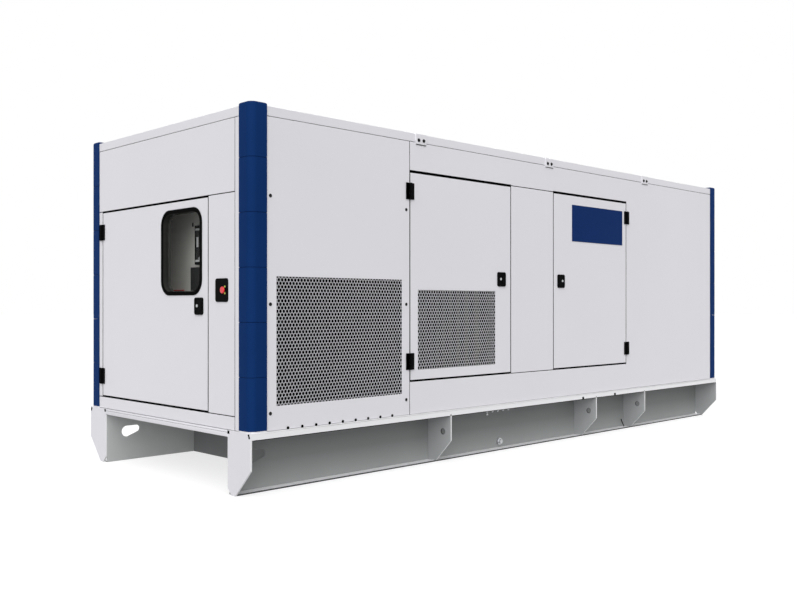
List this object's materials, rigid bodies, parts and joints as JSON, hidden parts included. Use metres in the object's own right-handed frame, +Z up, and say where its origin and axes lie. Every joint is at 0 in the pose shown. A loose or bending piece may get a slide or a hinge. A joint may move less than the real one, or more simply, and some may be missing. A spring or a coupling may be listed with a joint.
{
  "type": "silent diesel generator set",
  "caption": "Sound-proof diesel generator set in a long white canopy on a steel skid, with blue corner posts, perforated air inlets and three hinged doors.",
  "frame": {"origin": "Middle of the skid's length and width, at the underside of the skid.", "axes": "+X along the set towards the radiator end, +Y towards the back long side, +Z up; the control end faces -X and the long side with the hinged doors faces -Y."},
  "size_m": [5.442, 1.938, 2.2],
  "materials": {
    "white_paint": "satin powder coat",
    "skid_paint": "satin powder coat on plate",
    "blue_paint": "satin powder coat",
    "grey_paint": "satin",
    "engine_iron": "painted casting",
    "black_plastic": "fine grained",
    "red_plastic": "moulded gloss",
    "black_rubber": "extruded rubber",
    "window_glass": "tinted clear sheet",
    "bare_steel": "zinc plated"
  },
  "bodies": {
    "set": {"skid_rail_front": "skid_paint", "skid_rail_back": "skid_paint", "skid_end_plates": "skid_paint", "skid_gussets": "skid_paint", "skid_end_members": "skid_paint", "skid_crossmembers": "skid_paint", "base_deck": "skid_paint", "drain_plug": "bare_steel", "corner_posts": "blue_paint", "roof_panel": "white_paint", "roof_outlet": "white_paint", "roof_brackets": "white_paint", "inlet_panel_front": "white_paint", "inlet_grille_front": "white_paint", "header_front": "white_paint", "sill_front": "white_paint", "pillar_front": "white_paint", "plain_panel_front": "white_paint", "inlet_panel_back": "white_paint", "grilles_back": "white_paint", "header_back": "white_paint", "sill_back": "white_paint", "pillar_back": "white_paint", "plain_panel_back": "white_paint", "air_door_back": "white_paint", "service_door_back": "white_paint", "door_fittings_back": "black_plastic", "control_end_header": "white_paint", "control_end_sill": "white_paint", "control_end_jambs": "white_paint", "control_end_side_panel": "white_paint", "stop_plate": "black_plastic", "stop_button": "red_plastic", "bulkhead": "grey_paint", "control_cabinet": "grey_paint", "display_panel": "black_plastic", "breaker_cover": "grey_paint", "radiator_end_header": "white_paint", "radiator_end_panel": "white_paint", "radiator_end_sill": "white_paint", "hinge_leaves_fixed": "black_plastic", "engine_bed": "grey_paint", "engine": "engine_iron", "air_cleaners": "black_plastic", "alternator": "blue_paint", "radiator": "grey_paint"},
    "control_door_leaf": {"control_door": "white_paint", "window_gasket": "black_rubber", "window_glass": "window_glass", "control_door_fittings": "black_plastic"},
    "air_door_leaf": {"air_door": "white_paint", "air_door_grille": "white_paint", "air_door_fittings": "black_plastic"},
    "service_door_leaf": {"service_door": "white_paint", "sign_plate": "blue_paint", "service_door_fittings": "black_plastic"}
  },
  "joints": [
    {"name": "control_door_hinge", "type": "hinge", "parent": "set", "child": "control_door_leaf", "pos_m": [-2.7175, 0.795, 1.078], "axis": [0, 0, -1], "range_deg": [0, 110]},
    {"name": "air_door_hinge", "type": "hinge", "parent": "set", "child": "air_door_leaf", "pos_m": [-1.4705, -0.96, 1.2575], "axis": [0, 0, -1], "range_deg": [0, 110]},
    {"name": "service_door_hinge", "type": "hinge", "parent": "set", "child": "service_door_leaf", "pos_m": [1.1135, -0.96, 1.2575], "axis": [0, 0, 1], "range_deg": [0, 110]}
  ]
}
